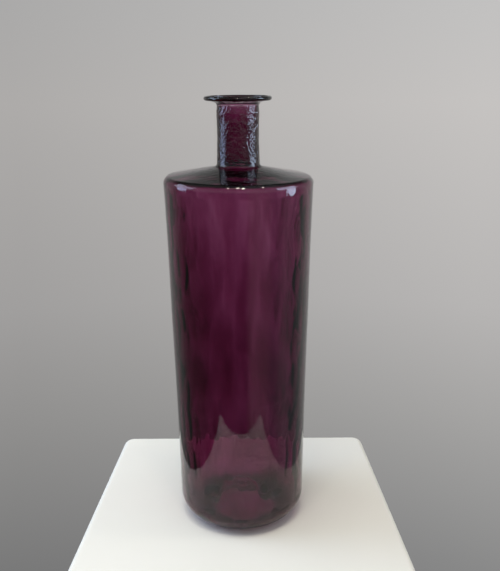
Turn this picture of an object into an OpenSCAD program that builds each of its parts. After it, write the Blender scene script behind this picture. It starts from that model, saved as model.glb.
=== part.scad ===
// Tall blown-glass floor bottle: a gently tapering body with a rounded shoulder, a slim neck,
// a flared lip with a fire-polished rim, and a pushed-up base standing on six felt pads.
// Millimetres, +Z up, origin on the axis at the surface that the pads stand on.
// The glass is cut where the glassmaker's steps meet, and the cuts touch face to face.

/* [Body] */
// Height over everything, pads to rim
total_h = 750; // [700:1:800]
// Outer diameter where the body meets the heel
body_base_d = 226; // [200:1:240]
// Outer diameter at the top of the body, which is its widest place
body_top_d = 250; // [242:1:260]
// Height of the widest place
body_top_h = 612; // [590:1:620]
// How far the sides bow inwards between heel and shoulder
body_bow = 1.3; // [0:0.1:4]
// Thickness of the blown wall low on the body, always less than floor_wall
body_wall_low = 5.5; // [4.5:0.5:5.5]
// Thickness of the blown wall at the top of the body
body_wall_top = 4.5; // [3:0.5:5.5]

/* [Shoulder] */
// Radius of the rounded edge between body and shoulder
shoulder_round = 12; // [10:1:20]
// Slope of the shoulder's cone, in degrees from level
shoulder_slope = 10; // [8:1:16]

/* [Neck] */
// Outer diameter at the foot of the neck
neck_foot_d = 70.8; // [66:1:80]
// Outer diameter just under the lip
neck_top_d = 70.2; // [66:0.5:74]
// How far the neck is waisted between the two
neck_waist = 1.1; // [0:0.1:3]
// Diameter of the throat, a straight cylinder that a stopper or a lamp fitting sits in
throat_d = 54; // [44:1:58]
// Length of that cylinder, from the foot of the neck up
throat_straight = 50; // [30:1:60]
// Inner diameter at the top of the neck, where the glass is thinner
throat_top_d = 60; // [54:1:62]
// Radius of the hollow curve where the neck leaves the shoulder
neck_fillet = 7; // [4:1:12]

/* [Lip] */
// Outer diameter over the rim
lip_d = 111; // [100:0.5:124]
// Diameter of the rounded rim bead
rim_d = 7.6; // [5:0.2:9]
// Slope of the flare, in degrees from level
lip_slope = 20; // [16:1:23]
// Thickness of the flare
lip_wall = 2.4; // [2.2:0.2:5]
// Radius of the hollow curve under the flare
lip_fillet = 4.5; // [3:0.5:6]

/* [Base] */
// Radius of the rounded heel
heel_round = 38; // [24:1:40]
// Thickness of the glass on the standing ring
floor_wall = 6; // [6:0.5:12]
// Thickness of the glass at the top of the push-up
push_up_wall = 4.5; // [4:0.5:9]
// Height of the push-up above the standing ring
push_up_h = 38; // [25:1:50]
// Outer diameter of the push-up
push_up_d = 116; // [100:1:120]
// Diameter of the level middle of the push-up, where the pontil rod was fixed
pontil_flat_d = 36; // [32:1:44]
// Outer diameter of the ring of glass that the rod left
scar_d = 30; // [24:1:32]
// Height of that ring
scar_h = 2.6; // [1:0.2:4]

/* [Pads] */
// Number of felt pads
pad_count = 6; // [4:1:8]
// Diameter of a pad
pad_d = 25; // [18:1:26]
// Thickness of a pad
pad_t = 2.5; // [1.5:0.5:4]
// Diameter of the circle that the pads' centres lie on
pad_ring_d = 143; // [140:1:148]

/* [Hidden] */
$fn = 128;
arc_step = 6;           // degrees between the points of an arc
body_steps = 20;        // straight stretches up the side of the body
neck_steps = 10;        // straight stretches up each side of the neck
dome_steps = 14;        // straight stretches across the push-up
amethyst = [0.36, 0.14, 0.27, 0.6];
dark_amethyst = [0.16, 0.06, 0.12, 0.9];
felt = [0.22, 0.2, 0.2];

base_r = body_base_d / 2;
top_r = body_top_d / 2;
heel_top = pad_t + heel_round;
inner_heel_round = heel_round - body_wall_low;
floor_top = pad_t + floor_wall;
inner_heel_top = floor_top + inner_heel_round;
push_up_r = push_up_d / 2;
pontil_flat_r = pontil_flat_d / 2;

shoulder_cx = top_r - shoulder_round;
shoulder_foot = body_top_h - 8;
throat_r = throat_d / 2;
throat_top_r = throat_top_d / 2;
neck_foot_r = neck_foot_d / 2;
neck_top_r = neck_top_d / 2;
neck_cx = neck_foot_r + neck_fillet;
cone_start_r = shoulder_cx + shoulder_round * sin(shoulder_slope);
cone_start_z = body_top_h + shoulder_round * cos(shoulder_slope);
cone_end_r = neck_cx - neck_fillet * sin(shoulder_slope);
neck_foot_z = cone_start_z + (cone_start_r - cone_end_r) * tan(shoulder_slope)
    + neck_fillet * cos(shoulder_slope);
throat_end_z = neck_foot_z + throat_straight;
throat_round = neck_cx - throat_r;      // rounding where the ceiling turns up into the throat

// The ceiling under the shoulder is the straight line that touches both of its rounded ends
ceiling_round = shoulder_round - body_wall_top;
ceiling_run = shoulder_cx - neck_cx;
ceiling_rise = neck_foot_z - body_top_h;
ceiling_slope = atan(ceiling_rise / ceiling_run)
    - asin((ceiling_round + throat_round) / norm([ceiling_run, ceiling_rise]));

rim_r = rim_d / 2;
rim_cx = lip_d / 2 - rim_r;
rim_cz = total_h - rim_r;
rim_cut_r = rim_cx - rim_r * cos(40);   // where the bead begins on the flare
flare_cx = neck_top_r + lip_fillet;
flare_tip_z = rim_cz - rim_r * sin(50);
flare_foot_r = flare_cx - lip_fillet * sin(lip_slope);
neck_top_z = flare_tip_z - (rim_cut_r - flare_foot_r) * tan(lip_slope) - lip_fillet * cos(lip_slope);

// Rounding where the throat opens: it starts at the neck's joint and meets the top of the flare
mouth_round = (lip_wall + (throat_top_r - flare_foot_r) * sin(lip_slope)
    + lip_fillet * pow(cos(lip_slope), 2)) / (1 - sin(lip_slope));

function pad_name(i) = str("felt_pad_", i);

// Points of an arc about [cx, cz], from angle a0 to angle a1
function arc(cx, cz, r, a0, a1) =
    let (n = ceil(abs(a1 - a0) / arc_step))
    [for (i = [0:n]) let (a = a0 + (a1 - a0) * i / n) [cx + r * cos(a), cz + r * sin(a)]];

// Outer radius of the body at height z: a straight taper that bows inwards a little
function body_r(z) =
    let (t = (z - heel_top) / (body_top_h - heel_top))
    base_r + (top_r - base_r) * t - body_bow * 4 * t * (1 - t);

// Inner radius of the body at height z: the wall thins towards the shoulder
function body_inner_r(z) =
    let (t = (z - heel_top) / (body_top_h - heel_top))
    body_r(z) - body_wall_low + (body_wall_low - body_wall_top) * t * t;

// Outer radius of the neck at height z
function neck_r(z) =
    let (t = (z - neck_foot_z) / (neck_top_z - neck_foot_z))
    neck_foot_r + (neck_top_r - neck_foot_r) * t - neck_waist * 4 * t * (1 - t);

// Inner radius of the neck at height z: straight at first, then easing out to the lip
function throat_inner_r(z) =
    let (t = max(0, z - throat_end_z) / (neck_top_z - throat_end_z))
    throat_r + (throat_top_r - throat_r) * t * t * (3 - 2 * t);

// Height of the push-up's underside at radius r: level in the middle, then a soft S down
function dome_z(r) =
    let (t = max(0, r - pontil_flat_r) / (push_up_r - pontil_flat_r))
    pad_t + push_up_h * (1 + cos(180 * t)) / 2;

// Height of its upper side
function dome_top_z(r) =
    dome_z(r) + push_up_wall + (floor_wall - push_up_wall) * r / push_up_r;

function flip(points) = [for (i = [len(points) - 1:-1:0]) points[i]];

module turned(points) {
    rotate_extrude(angle = 360) polygon(points);
}

// The pushed-up middle of the base
module push_up() {
    radii = concat([0], [for (i = [0:dome_steps])
        pontil_flat_r + (push_up_r - pontil_flat_r) * i / dome_steps]);
    color(amethyst) turned(concat(
        [for (r = radii) [r, dome_z(r)]],
        flip([for (r = radii) [r, dome_top_z(r)]])
    ));
}

// The rough ring of glass that the pontil rod left under the push-up
module pontil_scar() {
    top = pad_t + push_up_h;
    color(dark_amethyst) turned([
        [scar_d / 2 - 6, top],
        [scar_d / 2 - 5, top - scar_h * 0.7],
        [scar_d / 2 - 3, top - scar_h],
        [scar_d / 2 - 1, top - scar_h * 0.8],
        [scar_d / 2, top]
    ]);
}

// The standing ring and the thick rounded heel
module heel() {
    cut_z = inner_heel_top;
    color(amethyst) turned(concat(
        [[push_up_r, pad_t]],
        arc(base_r - heel_round, heel_top, heel_round, -90, 0),
        [[body_r(cut_z), cut_z]],
        arc(body_inner_r(cut_z) - inner_heel_round, cut_z, inner_heel_round, 0, -90),
        [[push_up_r, floor_top]]
    ));
}

// The blown wall of the body
module body_wall() {
    heights = [for (i = [0:body_steps])
        inner_heel_top + (shoulder_foot - inner_heel_top) * i / body_steps];
    color(amethyst) turned(concat(
        [for (z = heights) [body_r(z), z]],
        flip([for (z = heights) [body_inner_r(z), z]])
    ));
}

// The rounded edge, the low cone and the hollow curve up into the neck
module shoulder() {
    color(amethyst) turned(concat(
        [[body_r(shoulder_foot), shoulder_foot]],
        arc(shoulder_cx, body_top_h, shoulder_round, 0, 90 - shoulder_slope),
        arc(neck_cx, neck_foot_z, neck_fillet, 270 - shoulder_slope, 180),
        arc(neck_cx, neck_foot_z, throat_round, 180, 270 - ceiling_slope),
        arc(shoulder_cx, body_top_h, ceiling_round, 90 - ceiling_slope, 0),
        [[body_inner_r(shoulder_foot), shoulder_foot]]
    ));
}

// The neck, with its throat
module neck() {
    outer_heights = [for (i = [0:neck_steps])
        neck_foot_z + (neck_top_z - neck_foot_z) * i / neck_steps];
    flare_heights = [for (i = [0:neck_steps])
        throat_end_z + (neck_top_z - throat_end_z) * i / neck_steps];
    color(amethyst) turned(concat(
        [for (z = outer_heights) [neck_r(z), z]],
        flip([for (z = flare_heights) [throat_inner_r(z), z]]),
        [[throat_r, neck_foot_z]]
    ));
}

// The flare of the lip, from the top of the neck out to the rim bead
module lip_flare() {
    mouth_cx = throat_top_r + mouth_round;
    top_z = flare_tip_z + lip_wall / cos(lip_slope);
    color(amethyst) turned(concat(
        arc(flare_cx, neck_top_z, lip_fillet, 180, 90 + lip_slope),
        [[rim_cut_r, flare_tip_z], [rim_cut_r, top_z]],
        flip(arc(mouth_cx, neck_top_z, mouth_round, 180, 90 + lip_slope))
    ));
}

// The rounded rim, melted smooth and thick enough to look nearly black
module rim_bead() {
    top_z = flare_tip_z + lip_wall / cos(lip_slope);
    color(dark_amethyst) turned(concat(
        [[rim_cut_r, flare_tip_z]],
        arc(rim_cx, rim_cz, rim_r, -130, 140),
        [[rim_cut_r, top_z]]
    ));
}

// One felt pad under the standing ring
module felt_pad(i) {
    color(felt)
        rotate([0, 0, 360 * (i - 1) / pad_count - 90])
            translate([pad_ring_d / 2, 0, 0])
                cylinder(d = pad_d, h = pad_t);
}

push_up();
pontil_scar();
heel();
body_wall();
shoulder();
neck();
lip_flare();
rim_bead();
for (i = [1:pad_count])
    felt_pad(i);
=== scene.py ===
"""Tall amethyst glass floor bottle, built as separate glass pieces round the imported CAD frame."""
import math

import bpy
import numpy as np
from mathutils import Matrix, Vector, noise


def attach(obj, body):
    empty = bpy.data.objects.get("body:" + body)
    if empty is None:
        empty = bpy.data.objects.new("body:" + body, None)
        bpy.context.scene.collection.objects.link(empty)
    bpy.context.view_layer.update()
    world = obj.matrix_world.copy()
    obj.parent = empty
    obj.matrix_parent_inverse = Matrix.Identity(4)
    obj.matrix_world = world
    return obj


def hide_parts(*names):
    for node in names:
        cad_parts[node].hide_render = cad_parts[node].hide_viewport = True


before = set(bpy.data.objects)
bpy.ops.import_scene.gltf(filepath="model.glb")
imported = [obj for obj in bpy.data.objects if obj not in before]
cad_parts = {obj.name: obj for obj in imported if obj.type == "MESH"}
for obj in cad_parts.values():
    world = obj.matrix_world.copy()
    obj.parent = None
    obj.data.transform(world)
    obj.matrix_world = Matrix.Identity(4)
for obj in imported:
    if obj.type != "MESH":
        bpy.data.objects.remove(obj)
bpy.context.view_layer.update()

MM = 0.001
SEGMENTS = 256                  # points round every ring of glass
DOME_STEPS = 24                 # rings across the pushed-up base
WALL_STEPS = 130                # rings up the body
NECK_STEPS = 92                 # rings up the neck, close enough for its fine waves
JOINT_GAP = 0.01                # mm that each joint face stands back from its neighbour
SAME_POINT = 1e-4               # mm within which two points of the outline are one


# ---------------------------------------------------------------- sizes, in mm, as in the CAD
TOTAL_H = 750.0
BODY_BASE_R = 113.0
BODY_TOP_R = 125.0
BODY_TOP_H = 612.0
BODY_BOW = 1.3
WALL_LOW = 5.5
WALL_TOP = 4.5
SHOULDER_ROUND = 12.0
SHOULDER_SLOPE = 10.0
NECK_FOOT_R = 35.4
NECK_TOP_R = 35.1
NECK_WAIST = 1.1
THROAT_R = 27.0
THROAT_STRAIGHT = 50.0
THROAT_TOP_R = 30.0
NECK_FILLET = 7.0
LIP_R = 55.5
RIM_R = 3.8
RIM_CX = LIP_R - RIM_R
RIM_CZ = TOTAL_H - RIM_R
RIM_FOOT_ANGLE = -130           # degrees round the rim's section, where the flare's underside meets it
RIM_TOP_ANGLE = 140             # and where its upper side does
LIP_SLOPE = 20.0
LIP_WALL = 2.4
LIP_FILLET = 4.5
HEEL_ROUND = 38.0
FLOOR_WALL = 6.0
PUSH_UP_WALL = 4.5
PUSH_UP_H = 38.0
PUSH_UP_R = 58.0
PONTIL_FLAT_R = 18.0
SCAR_R = 15.0
SCAR_H = 2.6
PAD_COUNT = 6
PAD_R = 12.5
PAD_T = 2.5
PAD_RING_R = 71.5

HEEL_TOP = PAD_T + HEEL_ROUND
INNER_HEEL_ROUND = HEEL_ROUND - WALL_LOW
FLOOR_TOP = PAD_T + FLOOR_WALL
HEEL_CUT_Z = FLOOR_TOP + INNER_HEEL_ROUND
SHOULDER_CX = BODY_TOP_R - SHOULDER_ROUND
SHOULDER_SKIRT = 8.0            # how far the shoulder's piece reaches down the wall
SHOULDER_FOOT = BODY_TOP_H - SHOULDER_SKIRT
NECK_CX = NECK_FOOT_R + NECK_FILLET
CEILING_ROUND = SHOULDER_ROUND - WALL_TOP


def sin_d(a):
    return math.sin(math.radians(a))


def cos_d(a):
    return math.cos(math.radians(a))


def tan_d(a):
    return math.tan(math.radians(a))


CONE_START_R = SHOULDER_CX + SHOULDER_ROUND * sin_d(SHOULDER_SLOPE)
CONE_START_Z = BODY_TOP_H + SHOULDER_ROUND * cos_d(SHOULDER_SLOPE)
CONE_END_R = NECK_CX - NECK_FILLET * sin_d(SHOULDER_SLOPE)
NECK_FOOT_Z = (CONE_START_Z + (CONE_START_R - CONE_END_R) * tan_d(SHOULDER_SLOPE)
               + NECK_FILLET * cos_d(SHOULDER_SLOPE))
CEILING_RUN = SHOULDER_CX - NECK_CX
CEILING_RISE = NECK_FOOT_Z - BODY_TOP_H
# the ceiling under the shoulder is the straight line that touches both of its rounded ends
CEILING_SLOPE = math.degrees(
    math.atan(CEILING_RISE / CEILING_RUN)
    - math.asin((CEILING_ROUND + NECK_CX - THROAT_R) / math.hypot(CEILING_RUN, CEILING_RISE)))
RIM_CUT_R = RIM_CX + RIM_R * cos_d(RIM_TOP_ANGLE)
FLARE_CX = NECK_TOP_R + LIP_FILLET
FLARE_TIP_Z = RIM_CZ + RIM_R * sin_d(RIM_FOOT_ANGLE)
FLARE_FOOT_R = FLARE_CX - LIP_FILLET * sin_d(LIP_SLOPE)
NECK_TOP_Z = (FLARE_TIP_Z - (RIM_CUT_R - FLARE_FOOT_R) * tan_d(LIP_SLOPE)
              - LIP_FILLET * cos_d(LIP_SLOPE))
LIP_TOP_Z = FLARE_TIP_Z + LIP_WALL / cos_d(LIP_SLOPE)
# the throat's rounding starts at the neck's joint and meets the top of the flare
MOUTH_ROUND = ((LIP_WALL + (THROAT_TOP_R - FLARE_FOOT_R) * sin_d(LIP_SLOPE)
                + LIP_FILLET * cos_d(LIP_SLOPE) ** 2) / (1 - sin_d(LIP_SLOPE)))
MOUTH_CX = THROAT_TOP_R + MOUTH_ROUND


def body_r(z):
    """The body's outer radius: a taper that bows slightly inwards."""
    t = (z - HEEL_TOP) / (BODY_TOP_H - HEEL_TOP)
    return BODY_BASE_R + (BODY_TOP_R - BODY_BASE_R) * t - BODY_BOW * 4 * t * (1 - t)


def body_inner_r(z):
    """The body's inner radius; the wall thins towards the top."""
    t = (z - HEEL_TOP) / (BODY_TOP_H - HEEL_TOP)
    return body_r(z) - WALL_LOW + (WALL_LOW - WALL_TOP) * t * t


def neck_r(z):
    """The neck's outer radius, with its waist."""
    t = (z - NECK_FOOT_Z) / (NECK_TOP_Z - NECK_FOOT_Z)
    return NECK_FOOT_R + (NECK_TOP_R - NECK_FOOT_R) * t - NECK_WAIST * 4 * t * (1 - t)


def throat_inner_r(z):
    """The throat: straight at first, then opening smoothly towards the mouth."""
    start = NECK_FOOT_Z + THROAT_STRAIGHT
    t = max(0.0, z - start) / (NECK_TOP_Z - start)
    return THROAT_R + (THROAT_TOP_R - THROAT_R) * t * t * (3 - 2 * t)


def dome_z(r):
    """The underside of the pushed-up base."""
    t = max(0.0, r - PONTIL_FLAT_R) / (PUSH_UP_R - PONTIL_FLAT_R)
    return PAD_T + PUSH_UP_H * (1 + math.cos(math.pi * t)) / 2


def dome_top_z(r):
    """The same base seen from inside the bottle."""
    return dome_z(r) + PUSH_UP_WALL + (FLOOR_WALL - PUSH_UP_WALL) * r / PUSH_UP_R


# ---------------------------------------------------------------- the meridian
def arc(cx, cz, r, a0, a1, step):
    """Points on an arc from a0 to a1 degrees, no more than step degrees apart."""
    n = max(2, math.ceil(abs(a1 - a0) / step))
    angles = [a0 + (a1 - a0) * i / n for i in range(n + 1)]
    return [(cx + r * cos_d(a), cz + r * sin_d(a)) for a in angles]


def line(p, q, step):
    """Points on a straight line, no more than step mm apart."""
    n = max(1, math.ceil(math.dist(p, q) / step))
    return [(p[0] + (q[0] - p[0]) * i / n, p[1] + (q[1] - p[1]) * i / n) for i in range(n + 1)]


def joined(*runs):
    """The runs as one outline, with the points that they share kept once."""
    points = []
    for run in runs:
        for p in run:
            if not points or math.dist(points[-1], p) > SAME_POINT:
                points.append(p)
    return points


def meridian():
    """The glass's outline from the axis underneath, up the outside, over the rim and down the inside.

    Each zone is (node, side, points); neighbours share their end point.
    """
    radii = [PUSH_UP_R * i / DOME_STEPS for i in range(DOME_STEPS + 1)]
    heights = [HEEL_CUT_Z + (SHOULDER_FOOT - HEEL_CUT_Z) * i / WALL_STEPS
               for i in range(WALL_STEPS + 1)]
    neck_heights = [NECK_FOOT_Z + (NECK_TOP_Z - NECK_FOOT_Z) * i / NECK_STEPS
                    for i in range(NECK_STEPS + 1)]
    cut = body_inner_r(HEEL_CUT_Z) - INNER_HEEL_ROUND
    cone = arc(SHOULDER_CX, BODY_TOP_H, SHOULDER_ROUND, 0, 90 - SHOULDER_SLOPE, 4)
    neck_curve = arc(NECK_CX, NECK_FOOT_Z, NECK_FILLET, 270 - SHOULDER_SLOPE, 180, 6)
    ceiling = arc(SHOULDER_CX, BODY_TOP_H, CEILING_ROUND, 90 - CEILING_SLOPE, 0, 5)
    throat = arc(NECK_CX, NECK_FOOT_Z, NECK_CX - THROAT_R, 180, 270 - CEILING_SLOPE, 5)
    flare = arc(FLARE_CX, NECK_TOP_Z, LIP_FILLET, 180, 90 + LIP_SLOPE, 6)
    mouth = arc(MOUTH_CX, NECK_TOP_Z, MOUTH_ROUND, 90 + LIP_SLOPE, 180, 6)
    outer = [
        ("push_up", [(r, dome_z(r)) for r in radii]),
        ("heel", joined(line((PUSH_UP_R, PAD_T), (BODY_BASE_R - HEEL_ROUND, PAD_T), 3),
                        arc(BODY_BASE_R - HEEL_ROUND, HEEL_TOP, HEEL_ROUND, -90, 0, 3.5),
                        [(body_r(HEEL_CUT_Z), HEEL_CUT_Z)])),
        ("body_wall", [(body_r(z), z) for z in heights]),
        ("shoulder", joined([(body_r(SHOULDER_FOOT), SHOULDER_FOOT)], cone,
                            line(cone[-1], neck_curve[0], 2.5), neck_curve)),
        ("neck", [(neck_r(z), z) for z in neck_heights]),
        ("lip_flare", joined(flare, line(flare[-1], (RIM_CUT_R, FLARE_TIP_Z), 2))),
        ("rim_bead", joined([(RIM_CUT_R, FLARE_TIP_Z)],
                            arc(RIM_CX, RIM_CZ, RIM_R, RIM_FOOT_ANGLE, RIM_TOP_ANGLE, 9),
                            [(RIM_CUT_R, LIP_TOP_Z)])),
    ]
    inner = [
        ("lip_flare", joined(line((RIM_CUT_R, LIP_TOP_Z), mouth[0], 2), mouth)),
        ("neck", [(throat_inner_r(z), z) for z in reversed(neck_heights)]),
        ("shoulder", joined(throat, line(throat[-1], ceiling[0], 3), ceiling,
                            [(body_inner_r(SHOULDER_FOOT), SHOULDER_FOOT)])),
        ("body_wall", [(body_inner_r(z), z) for z in reversed(heights)]),
        ("heel", joined(arc(cut, HEEL_CUT_Z, INNER_HEEL_ROUND, 0, -90, 4),
                        line((cut, FLOOR_TOP), (PUSH_UP_R, FLOOR_TOP), 3))),
        ("push_up", [(r, dome_top_z(r)) for r in reversed(radii)]),
    ]
    return [(n, "outer", p) for n, p in outer] + [(n, "inner", p) for n, p in inner]


# How the blown surface departs from the turned shape: (zone, side) -> waves, each
# (height of the wave in mm, half its length across, half its length up and down)
WAVES = {
    ("push_up", "outer"): [(0.8, 16, 16), (0.2, 6, 6)],
    ("push_up", "inner"): [(0.8, 20, 20), (0.3, 7, 7)],
    ("heel", "outer"): [(0.7, 45, 30), (0.12, 10, 10)],
    ("heel", "inner"): [(1.0, 28, 24), (0.3, 10, 10)],
    ("body_wall", "outer"): [(0.9, 60, 150), (0.12, 13, 90), (0.03, 6, 12)],
    ("body_wall", "inner"): [(1.9, 34, 90), (1.0, 14, 60), (0.15, 8, 16)],
    ("shoulder", "outer"): [(0.6, 36, 36), (0.20, 8, 8)],
    ("shoulder", "inner"): [(0.5, 26, 22), (0.15, 9, 9)],
    ("neck", "outer"): [(0.6, 13, 18), (1.0, 4.5, 6), (1.2, 2.4, 3.0)],
    ("neck", "inner"): [(1.0, 12, 20), (0.3, 5, 7)],
    ("lip_flare", "outer"): [(0.4, 14, 14), (0.12, 5, 5)],
    ("lip_flare", "inner"): [(0.4, 14, 14), (0.12, 5, 5)],
    ("rim_bead", "outer"): [(0.35, 22, 22), (0.08, 7, 7)],
}
WAVE_COUNT = 3
WAVE_SEED = 31.7                # apart enough that the waves of a zone don't match
INNER_SEED = 57.3
AXIS_FADE_R = 6.0               # the waves die out this close to the axis
TIGHT_R = 119.0                 # from here outwards, towards the widest ring, waves only cut inwards
TIGHT_R_FADE = 3.0
TIGHT_FOOT_Z = 40.0             # so they do below this height, towards the pads
TIGHT_FOOT_FADE = 20.0
TIGHT_LIP_FADE = 10.0           # and over this last stretch of the neck, towards the lip
SAG = 2.0                       # mm that the shoulder sinks towards +X
SAG_Z = 622.0
SAG_REACH = 60.0                # mm above and below that height
SAG_FROM_R = 38.0               # the neck stands clear of it
SAG_FADE_R = 50.0
SIDE_RUN = 9.0                  # mm that runs of thick glass stand in from the wall at +X and -X
SIDE_RUN_ACROSS = 15.0          # half their length across
SIDE_RUN_ALONG = 48.0           # half their length up and down
SIDE_RUN_SEED = 11.0
SIDE_RUN_CLEAR = 20.0           # mm above the heel where they start
SIDE_RUN_FADE = 40.0
BLISTER_TURN = 33.0             # degrees that the neck's blister lies round from the front
BLISTER_Z = 704.0
BLISTER_SIZE = 9.0              # half its width and height
BLISTER_RISE = 0.9
BLISTER_RIPPLE = 1.6            # its rippled skin, which scatters the light
BLISTER_RIPPLE_ACROSS = 1.6
BLISTER_RIPPLE_ALONG = 2.2


def glass_grid():
    """Every ring of the glass, displaced, with its normals, and each zone's stretch of rings."""
    profile, heights, across, along, ranges = [], [], [], [], {}
    for node, side, points in meridian():
        start = max(0, len(profile) - 1)
        for p in points:
            if profile and math.dist(profile[-1], p) < SAME_POINT:
                continue
            profile.append(p)
            waves = WAVES[(node, side)] + [(0.0, 10.0, 10.0)] * WAVE_COUNT
            heights.append([w[0] for w in waves[:WAVE_COUNT]])
            across.append([w[1] for w in waves[:WAVE_COUNT]])
            along.append([w[2] for w in waves[:WAVE_COUNT]])
        ranges[(node, side)] = (start, len(profile) - 1)
    profile = np.array(profile)
    rows = len(profile)
    # the waves fade into each other from zone to zone
    kernel = np.ones(5) / 5
    heights = np.array(heights)
    for k in range(WAVE_COUNT):
        padded = np.pad(heights[:, k], 2, mode="edge")
        heights[:, k] = np.convolve(padded, kernel, mode="valid")
    tangent = np.gradient(profile, axis=0)
    tangent /= np.linalg.norm(tangent, axis=1)[:, None]
    theta = np.arange(SEGMENTS) * 2 * math.pi / SEGMENTS
    cos_t, sin_t = np.cos(theta), np.sin(theta)
    first_inner = ranges[("lip_flare", "inner")][0]
    run_foot = HEEL_CUT_Z + SIDE_RUN_CLEAR
    grid = np.zeros((rows, SEGMENTS, 3))
    for i in range(rows):
        r, z = profile[i]
        out_r, out_z = tangent[i][1], -tangent[i][0]
        inner = i > first_inner
        # 0 where waves go out as well as in, 1 where they only cut inwards
        tight = np.clip(max((r - TIGHT_R) / TIGHT_R_FADE, (TIGHT_FOOT_Z - z) / TIGHT_FOOT_FADE,
                            (z - NECK_TOP_Z) / TIGHT_LIP_FADE + 1), 0, 1)
        shift = np.zeros(SEGMENTS)
        for k in range(WAVE_COUNT):
            if heights[i, k] == 0:
                continue
            a, b = across[i][k], along[i][k]
            seed = WAVE_SEED * k + (INNER_SEED if inner else 0.0)
            wave = np.array([noise.noise(Vector((r * c / a + seed, r * s / a, z / b)))
                             for c, s in zip(cos_t, sin_t)])
            if not inner:
                wave = (wave - tight) / 2
            shift += heights[i, k] * wave
        if inner and run_foot < z < SHOULDER_FOOT:
            ease = min(1.0, (z - run_foot) / SIDE_RUN_FADE, (SHOULDER_FOOT - z) / SIDE_RUN_FADE)
            runs = np.array([noise.noise(Vector((r * c / SIDE_RUN_ACROSS + SIDE_RUN_SEED,
                                                 r * s / SIDE_RUN_ACROSS, z / SIDE_RUN_ALONG)))
                             for c, s in zip(cos_t, sin_t)])
            shift += ease * SIDE_RUN * np.abs(cos_t) ** 3 * np.clip(runs, 0, 1)
        if not inner and abs(z - BLISTER_Z) < BLISTER_SIZE:
            around = (np.degrees(theta) + 90 - BLISTER_TURN + 180) % 360 - 180
            dist = np.hypot(np.radians(around) * r, z - BLISTER_Z) / BLISTER_SIZE
            bump = np.clip(1 - dist ** 2, 0, 1) ** 0.5
            ripple = np.array([noise.noise(Vector((r * c / BLISTER_RIPPLE_ACROSS,
                                                   r * s / BLISTER_RIPPLE_ACROSS,
                                                   z / BLISTER_RIPPLE_ALONG)))
                               for c, s in zip(cos_t, sin_t)])
            shift += bump * (BLISTER_RISE + BLISTER_RIPPLE * ripple)
        shift *= min(1.0, r / AXIS_FADE_R)
        near = (max(0.0, 1 - abs(z - SAG_Z) / SAG_REACH)
                * max(0.0, min(1.0, (r - SAG_FROM_R) / SAG_FADE_R)))
        sag = SAG * near * (1 + cos_t) / 2
        grid[i, :, 0] = (r + out_r * shift) * cos_t
        grid[i, :, 1] = (r + out_r * shift) * sin_t
        grid[i, :, 2] = z + out_z * shift - sag
    along_i = np.gradient(grid, axis=0)
    along_j = np.roll(grid, -1, axis=1) - np.roll(grid, 1, axis=1)
    normals = np.cross(along_j, along_i)
    length = np.linalg.norm(normals, axis=2)
    for i in (0, rows - 1):
        normals[i] = (0, 0, -1 if i == 0 else 1)
        length[i] = 1
    normals /= length[:, :, None]
    return grid, normals, ranges


def glass_piece(name, grid, normals, ranges):
    """One closed piece of glass: its outer rings, its inner rings and the joint faces between them."""
    rows = list(range(ranges[(name, "outer")][0], ranges[(name, "outer")][1] + 1))
    joints = []
    if (name, "inner") in ranges:
        joints.append(len(rows) - 1)
        rows += list(range(ranges[(name, "inner")][0], ranges[(name, "inner")][1] + 1))
    has_pole = name == "push_up"
    if not has_pole:
        joints.append(len(rows) - 1)
    count = len(rows)
    points = grid[rows].copy()
    for k in joints:
        after = (k + 1) % count
        for end, inside in ((k, k - 1), (after, (after + 1) % count)):
            step = points[inside] - points[end]
            points[end] += step / np.linalg.norm(step, axis=1)[:, None] * JOINT_GAP
    verts, base = [], []
    for k in range(count):
        base.append(len(verts))
        if has_pole and k in (0, count - 1):
            verts.append(tuple(points[k, 0] * MM))
        else:
            verts += [tuple(p * MM) for p in points[k]]
    faces, loop_normals, is_joint = [], [], []
    last = count - 1 if has_pole else count
    pole_rows = (0, count - 1) if has_pole else ()
    for k in range(last):
        k2 = (k + 1) % count
        joint = k in joints
        for j in range(SEGMENTS):
            j2 = (j + 1) % SEGMENTS
            corners = [(k, j), (k, j2), (k2, j2), (k2, j)]
            if has_pole and k == 0:
                corners = [(k, 0), (k2, j2), (k2, j)]
            elif has_pole and k2 == count - 1:
                corners = [(k, j), (k, j2), (k2, 0)]
            faces.append([base[a] if a in pole_rows else base[a] + b for a, b in corners])
            is_joint.append(1.0 if joint else 0.0)
            if joint:
                a, b, c = (points[q[0], q[1]] for q in corners[:3])
                flat = np.cross(b - a, c - b)
                flat = flat / np.linalg.norm(flat)
                loop_normals += [tuple(flat)] * len(corners)
            else:
                loop_normals += [tuple(normals[rows[a], b]) for a, b in corners]
    mesh = bpy.data.meshes.new(name + "_glass")
    mesh.from_pydata(verts, [], faces)
    mesh.polygons.foreach_set("use_smooth", [True] * len(faces))
    mesh.attributes.new("joint", "FLOAT", "FACE").data.foreach_set("value", is_joint)
    mesh.normals_split_custom_set(loop_normals)
    mesh.update()
    piece = bpy.data.objects.new(name + "_glass", mesh)
    bpy.context.scene.collection.objects.link(piece)
    return piece


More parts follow.
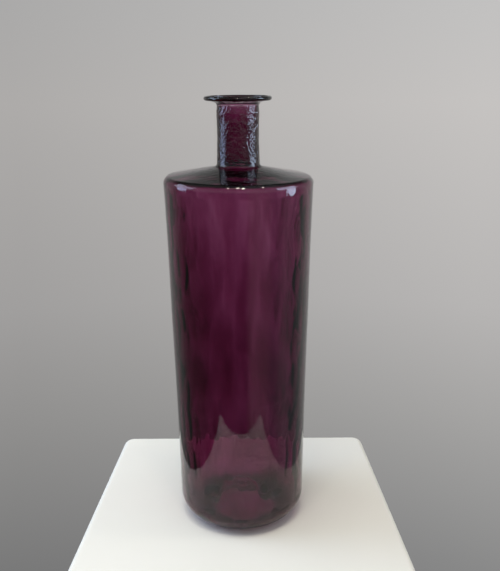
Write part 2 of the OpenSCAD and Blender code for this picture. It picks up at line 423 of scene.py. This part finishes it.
# ---------------------------------------------------------------- materials
class Nodes:
    """A short way to add nodes to a material or world."""

    def __init__(self, owner):
        owner.use_nodes = True
        self.tree = owner.node_tree
        self.tree.nodes.clear()

    def add(self, kind, inputs=None, **settings):
        """A new node; an input is either a value or the socket that feeds it."""
        node = self.tree.nodes.new(kind)
        for key, value in settings.items():
            setattr(node, key, value)
        for key, value in (inputs or {}).items():
            if isinstance(value, bpy.types.NodeSocket):
                self.tree.links.new(value, node.inputs[key])
            else:
                node.inputs[key].default_value = value
        return node

    def math(self, operation, a, b=0.0, c=0.0):
        return self.add("ShaderNodeMath", {0: a, 1: b, 2: c}, operation=operation).outputs[0]

    def noise(self, scale, detail=2.0, roughness=0.5, stretch=(1, 1, 1), distortion=0.0):
        """Noise fixed to the piece itself."""
        place = self.add("ShaderNodeTexCoord").outputs["Object"]
        place = self.add("ShaderNodeMapping", {"Vector": place, "Scale": stretch}).outputs[0]
        node = self.add("ShaderNodeTexNoise", {"Vector": place, "Scale": scale, "Detail": detail,
                                               "Roughness": roughness, "Distortion": distortion})
        return node.outputs["Fac"]

    def ramp(self, fac, stops, interpolation="LINEAR"):
        """A colour ramp; a stop is a place and a grey or a colour."""
        node = self.add("ShaderNodeValToRGB", {"Fac": fac})
        ramp = node.color_ramp
        ramp.interpolation = interpolation
        while len(ramp.elements) < len(stops):
            ramp.elements.new(0.5)
        for element, (place, colour) in zip(ramp.elements, stops):
            element.position = place
            if not isinstance(colour, tuple):
                colour = (colour, colour, colour)
            element.color = (*colour, 1.0)
        return node.outputs["Color"]


def glass_material(name, density, colour, ripple, rough):
    """Clear coloured glass: tinted by its depth, with ripples, faint smears and dust in its gloss."""
    mat = bpy.data.materials.new(name)
    n = Nodes(mat)
    joint = n.add("ShaderNodeAttribute", attribute_name="joint").outputs["Fac"]
    clear = n.math("SUBTRACT", 1.0, joint)
    smear = n.ramp(n.noise(18, 4, 0.6, (1, 1, 0.35)), [(0.42, rough), (0.78, rough + 0.05)])
    film = n.ramp(n.noise(9, 5, 0.65, (1, 1, 0.5)), [(0.3, (1, 1, 1)), (0.8, (0.93, 0.92, 0.93))])
    film = n.add("ShaderNodeMix", {"Factor": joint, 6: film, 7: (1, 1, 1, 1)},
                 data_type="RGBA").outputs[2]
    cords = n.noise(70, 2, 0.5, (1, 1, 0.12))
    pebbles = n.noise(150, 2, 0.5, (1, 1, 0.8))
    height = n.math("MULTIPLY_ADD", cords, 0.6, pebbles)
    bump = n.add("ShaderNodeBump", {"Height": height, "Distance": ripple * MM, "Strength": clear})
    shader = n.add("ShaderNodeBsdfPrincipled", {
        "Base Color": film,
        "Roughness": n.math("MULTIPLY", smear, clear),
        "IOR": n.math("MULTIPLY_ADD", clear, 0.5, 1.0),
        "Normal": bump.outputs["Normal"],
        "Transmission Weight": 1.0,
    })
    # light reaches the stand straight through the glass, tinted by its depth
    through = n.add("ShaderNodeBsdfTransparent")
    is_shadow = n.add("ShaderNodeLightPath").outputs["Is Shadow Ray"]
    skin = n.add("ShaderNodeMixShader", {0: is_shadow, 1: shader.outputs[0],
                                         2: through.outputs[0]})
    depth = n.add("ShaderNodeVolumeAbsorption", {"Color": (*colour, 1.0), "Density": density})
    n.add("ShaderNodeOutputMaterial", {"Surface": skin.outputs[0], "Volume": depth.outputs[0]})
    return mat


def felt_material():
    """Dark wool felt: flecked, rough and slightly hairy."""
    mat = bpy.data.materials.new("dark_felt")
    n = Nodes(mat)
    fleck = n.noise(900, 4, 0.7)
    fibre = n.noise(1600, 3, 0.6, (1, 0.3, 1), 1.5)
    colour = n.ramp(fleck, [(0.3, (0.050, 0.042, 0.046)), (0.7, (0.120, 0.102, 0.112))])
    height = n.math("ADD", fleck, fibre)
    bump = n.add("ShaderNodeBump", {"Height": height, "Distance": 0.4 * MM, "Strength": 0.8})
    shader = n.add("ShaderNodeBsdfPrincipled", {
        "Base Color": colour, "Roughness": 0.95, "Normal": bump.outputs["Normal"],
        "Sheen Weight": 0.4, "Sheen Roughness": 0.5,
    })
    n.add("ShaderNodeOutputMaterial", {"Surface": shader.outputs[0]})
    return mat


def cloth_material():
    """Plain pale cloth for the stand."""
    mat = bpy.data.materials.new("pale_cloth")
    n = Nodes(mat)
    weave = n.noise(1400, 2, 0.5)
    tone = n.ramp(n.noise(3, 3, 0.5), [(0.3, (0.80, 0.80, 0.73)), (0.7, (0.84, 0.84, 0.77))])
    bump = n.add("ShaderNodeBump", {"Height": weave, "Distance": 0.3 * MM, "Strength": 0.3})
    shader = n.add("ShaderNodeBsdfPrincipled", {
        "Base Color": tone, "Roughness": 0.9, "Normal": bump.outputs["Normal"],
    })
    n.add("ShaderNodeOutputMaterial", {"Surface": shader.outputs[0]})
    return mat


# ---------------------------------------------------------------- the small pieces
WOBBLE_ACROSS = 2.2             # mm, half the length of the bumps on the scar and the pads
WOBBLE_ALONG = 1.5
PAD_EDGE = 0.7                  # mm, the rounding of a pad's edge
PAD_GAP = 0.02                  # mm that a pad's top stands off the glass
SCAR_BURIED = 0.5               # mm that the scar reaches up past the underside of the dome


def turned_piece(name, profile, centre, segments, wobble, seed, material):
    """A closed turned piece about centre; profile runs from the axis or round a ring, in mm."""
    on_axis = profile[0][0] == 0
    verts, base, faces = [], [], []
    for k, (r, z) in enumerate(profile):
        base.append(len(verts))
        if on_axis and k in (0, len(profile) - 1):
            verts.append((centre[0] * MM, centre[1] * MM, z * MM))
            continue
        for j in range(segments):
            a = 2 * math.pi * j / segments
            c, s = math.cos(a), math.sin(a)
            n = wobble * noise.noise(Vector((r * c / WOBBLE_ACROSS + seed, r * s / WOBBLE_ACROSS,
                                             z / WOBBLE_ALONG)))
            verts.append(((centre[0] + (r + n) * c) * MM, (centre[1] + (r + n) * s) * MM, z * MM))
    count = len(profile)
    for k in range(count - 1 if on_axis else count):
        k2 = (k + 1) % count
        for j in range(segments):
            j2 = (j + 1) % segments
            if on_axis and k == 0:
                faces.append([base[0], base[k2] + j2, base[k2] + j])
            elif on_axis and k2 == count - 1:
                faces.append([base[k] + j, base[k] + j2, base[k2]])
            else:
                faces.append([base[k] + j, base[k] + j2, base[k2] + j2, base[k2] + j])
    mesh = bpy.data.meshes.new(name)
    mesh.from_pydata(verts, [], faces)
    mesh.polygons.foreach_set("use_smooth", [True] * len(faces))
    mesh.materials.append(material)
    mesh.update()
    piece = bpy.data.objects.new(name, mesh)
    bpy.context.scene.collection.objects.link(piece)
    return piece


def pad_profile():
    """Half a pad's section, from the axis underneath round to the axis on top."""
    flat_r = PAD_R - PAD_EDGE
    top_z = PAD_T - PAD_GAP
    side = (arc(flat_r, PAD_EDGE, PAD_EDGE, -70, 0, 25)
            + arc(flat_r, PAD_T - PAD_EDGE, PAD_EDGE, 0, 70, 25))
    return ([(r, 0.0) for r in (0, 4, 8, flat_r)] + side
            + [(r, top_z) for r in (flat_r, 8, 4, 0)])


def scar_profile():
    """The section of the broken ring under the dome, as (in from its edge, height)."""
    top = PAD_T + PUSH_UP_H + SCAR_BURIED
    low = PAD_T + PUSH_UP_H - SCAR_H
    section = [(6, top), (5.4, top - 1.3), (4.8, low + 0.9), (3.9, low + 0.2), (3, low),
               (2.0, low + 0.15), (1.1, low + 0.5), (0.4, low + 1.6), (0, top)]
    return [(SCAR_R - inset, z) for inset, z in section]


# ---------------------------------------------------------------- build the bottle
amethyst = glass_material("amethyst_glass", 450.0, (0.61, 0.14, 0.44), 0.06, 0.01)
pale_glass = glass_material("pale_glass", 80.0, (0.61, 0.14, 0.44), 0.06, 0.01)
rim_glass = glass_material("rim_glass", 1300.0, (0.61, 0.14, 0.42), 0.03, 0.01)
scar_glass = glass_material("scar_glass", 120.0, (0.61, 0.14, 0.42), 0.5, 0.2)
felt = felt_material()

# the lip and the middle of the base are blown thinnest and look palest
GLASS_OF = {"rim_bead": rim_glass, "push_up": pale_glass, "lip_flare": pale_glass}

grid, normals, ranges = glass_grid()
for node in ("push_up", "heel", "body_wall", "shoulder", "neck", "lip_flare", "rim_bead"):
    piece = glass_piece(node, grid, normals, ranges)
    piece.data.materials.append(GLASS_OF.get(node, amethyst))
    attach(piece, "root")
    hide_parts(node)

scar = turned_piece("pontil_scar_glass", scar_profile(), (0, 0), 96, 0.8, 4.0, scar_glass)
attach(scar, "root")
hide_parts("pontil_scar")

for i in range(PAD_COUNT):
    angle = 2 * math.pi * i / PAD_COUNT - math.pi / 2
    centre = (PAD_RING_R * math.cos(angle), PAD_RING_R * math.sin(angle))
    pad = turned_piece(f"felt_pad_{i + 1}_fibre", pad_profile(), centre, 72, 0.25, 3.1 * i, felt)
    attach(pad, "root")
    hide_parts(f"felt_pad_{i + 1}")


# ---------------------------------------------------------------- staging
def plinth():
    """The pale cloth-covered stand: a level top with soft edges, a little wider at the front."""
    back_y, front_y, back_half, front_half = 0.26, -0.475, 0.264, 0.305
    depth, edge_r, corner_r, steps = 0.12, 0.012, 0.022, 8
    corners = [(back_half, back_y), (-back_half, back_y), (-front_half, front_y), (front_half, front_y)]
    rounds = [(edge_r * (1 - math.sin(math.pi / 2 * k / steps)),
               -edge_r + edge_r * math.cos(math.pi / 2 * k / steps)) for k in range(steps + 1)]
    verts, faces = [], []
    for inset, z in rounds + [(0.0, -depth)]:
        for q, (cx, cy) in enumerate(corners):
            sx, sy = math.copysign(1, cx), math.copysign(1, cy)
            for c in range(steps + 1):
                a = math.pi / 2 * (q + c / steps)
                reach = corner_r - inset
                verts.append((cx - sx * corner_r + reach * math.cos(a),
                              cy - sy * corner_r + reach * math.sin(a), z))
    ring = 4 * (steps + 1)
    for k in range(steps + 1):
        for j in range(ring):
            j2 = (j + 1) % ring
            faces.append([k * ring + j, (k + 1) * ring + j, (k + 1) * ring + j2, k * ring + j2])
    faces.append(list(range(ring)))
    mesh = bpy.data.meshes.new("stand_top")
    mesh.from_pydata(verts, [], faces)
    mesh.polygons.foreach_set("use_smooth", [True] * (len(faces) - 1) + [False])
    mesh.materials.append(cloth_material())
    mesh.update()
    stand = bpy.data.objects.new("stand_top", mesh)
    bpy.context.scene.collection.objects.link(stand)


def room():
    """A plain grey room: pale behind and above, dim and softly banded in front."""
    world = bpy.data.worlds.new("room")
    bpy.context.scene.world = world
    n = Nodes(world)
    direction = n.add("ShaderNodeTexCoord").outputs["Generated"]
    x, y, z = n.add("ShaderNodeSeparateXYZ", {"Vector": direction}).outputs
    height = n.math("MULTIPLY_ADD", z, 0.5, 0.5)
    back = n.ramp(height, [(0.00, 0.14), (0.20, 0.22), (0.28, (0.33, 0.325, 0.32)),
                           (0.35, (0.42, 0.41, 0.405)), (0.48, (0.50, 0.485, 0.475)),
                           (0.58, 0.47), (0.66, 0.36), (0.73, 0.20), (0.78, 0.06), (0.92, 0.10)])
    above = n.ramp(height, [(0.36, 0.0), (0.44, (0.03, 0.035, 0.04)), (0.50, (0.22, 0.26, 0.29)),
                            (0.64, (0.28, 0.31, 0.33)), (0.78, 0.34), (0.90, 0.18)])
    # from straight in front (0.5) round to the left (0.25) and to the right (0.75)
    turn = n.math("ARCTAN2", x, n.math("MULTIPLY", y, -1.0))
    turn = n.math("MULTIPLY_ADD", turn, 0.5 / math.pi, 0.5)
    bands = n.ramp(turn, [(0.18, 0.14), (0.27, 0.09), (0.38, 0.05), (0.45, 0.04),
                          (0.52, (0.06, 0.05, 0.07)), (0.56, (0.30, 0.25, 0.25)), (0.62, 0.24),
                          (0.66, (0.20, 0.20, 0.26)), (0.72, (0.32, 0.33, 0.36)),
                          (0.80, (0.20, 0.20, 0.22))], "EASE")
    front = n.add("ShaderNodeMix", {"Factor": 1.0, 6: bands, 7: above}, data_type="RGBA",
                  blend_type="ADD").outputs[2]
    lean = n.add("ShaderNodeMapRange", {"Value": x, "From Min": -0.3, "From Max": 0.3,
                                        "To Min": 0.84, "To Max": 1.12}).outputs[0]
    back = n.add("ShaderNodeMix", {"Factor": 1.0, 6: back, 7: lean}, data_type="RGBA",
                 blend_type="MULTIPLY").outputs[2]
    side = n.add("ShaderNodeMapRange", {"Value": y, "From Min": 0.10, "From Max": 0.65},
                 interpolation_type="SMOOTHSTEP").outputs[0]
    colour = n.add("ShaderNodeMix", {"Factor": side, 6: front, 7: back},
                   data_type="RGBA").outputs[2]
    background = n.add("ShaderNodeBackground", {"Color": colour, "Strength": 1.0})
    n.add("ShaderNodeOutputWorld", {"Surface": background.outputs[0]})


LENS = 45.34                    # mm, on a 36 mm frame
CAMERA_PLACE = (0.0178, -1.196, 0.7864)
CAMERA_TILT = 16.54             # degrees down
CAMERA_ROLL = -0.39
BOTTLE_MIDDLE = (0, 0, 0.7)     # what the side lights face
LEFT_X = -2.15
RIGHT_X = 2.1
WINDOW_Z = 0.7
SKYLIGHT_Z = 1.75
SPOT_Z = 2.6
SPOT_RADIANCE = 60.0


def area_light(name, place, target, size, radiance, colour):
    """A light that shows only as what it lights and in reflections, never through the glass."""
    data = bpy.data.lights.new(name, "AREA")
    data.shape = "RECTANGLE"
    data.size, data.size_y = size
    data.energy = radiance * math.pi * size[0] * size[1]
    data.color = colour
    lamp = bpy.data.objects.new(name, data)
    bpy.context.scene.collection.objects.link(lamp)
    lamp.location = place
    lamp.rotation_euler = (Vector(target) - Vector(place)).to_track_quat("-Z", "Y").to_euler()
    lamp.visible_camera = False
    lamp.visible_transmission = False
    return lamp


def lights():
    """Cool windows and skylights at the sides, warm spots in the ceiling and one soft light above."""
    area_light("window_left", (LEFT_X, 0.05, WINDOW_Z), BOTTLE_MIDDLE, (0.8, 1.0), 5.5,
               (0.50, 0.65, 1.0))
    area_light("skylight_left", (LEFT_X, 0.2, SKYLIGHT_Z), BOTTLE_MIDDLE, (1.75, 1.0), 3.5,
               (0.62, 0.76, 1.0))
    for name, height, width, radiance in (("window_right", WINDOW_Z, 0.8, 8.5),
                                          ("skylight_right", SKYLIGHT_Z, 1.5, 5.5)):
        window = area_light(name, (RIGHT_X, -0.2, height), BOTTLE_MIDDLE, (width, 1.0), radiance,
                            (0.60, 0.75, 1.0))
        window.visible_diffuse = False
    for k, (x, y) in enumerate([(-0.38, -0.9), (-0.06, -0.75), (0.22, -0.85), (0.9, -0.2)]):
        area_light(f"ceiling_spot_{k + 1}", (x, y, SPOT_Z), (0, 0, 0.6), (0.14, 0.14),
                   SPOT_RADIANCE, (1.0, 0.88, 0.74))
    soft = area_light("soft_light", (-0.42, -0.25, 2.4), (0, 0, 0.1), (2.0, 2.0), 2.75,
                      (1.0, 0.985, 0.95))
    soft.visible_glossy = False


def camera():
    """The camera, a little right of the bottle's axis and looking down at it."""
    data = bpy.data.cameras.new("camera")
    data.sensor_width = 36.0
    data.lens = LENS
    data.clip_start = 0.01
    cam = bpy.data.objects.new("camera", data)
    bpy.context.scene.collection.objects.link(cam)
    cam.location = CAMERA_PLACE
    tilt = Matrix.Rotation(math.radians(90 - CAMERA_TILT), 4, "X")
    cam.rotation_euler = (tilt @ Matrix.Rotation(math.radians(CAMERA_ROLL), 4, "Z")).to_euler()
    bpy.context.scene.camera = cam


plinth()
room()
lights()
camera()

scene = bpy.context.scene
scene.view_settings.view_transform = "Standard"
scene.view_settings.look = "None"
scene.cycles.max_bounces = 32
scene.cycles.transmission_bounces = 32
scene.cycles.glossy_bounces = 12
scene.cycles.transparent_max_bounces = 16
scene.cycles.use_denoising = True
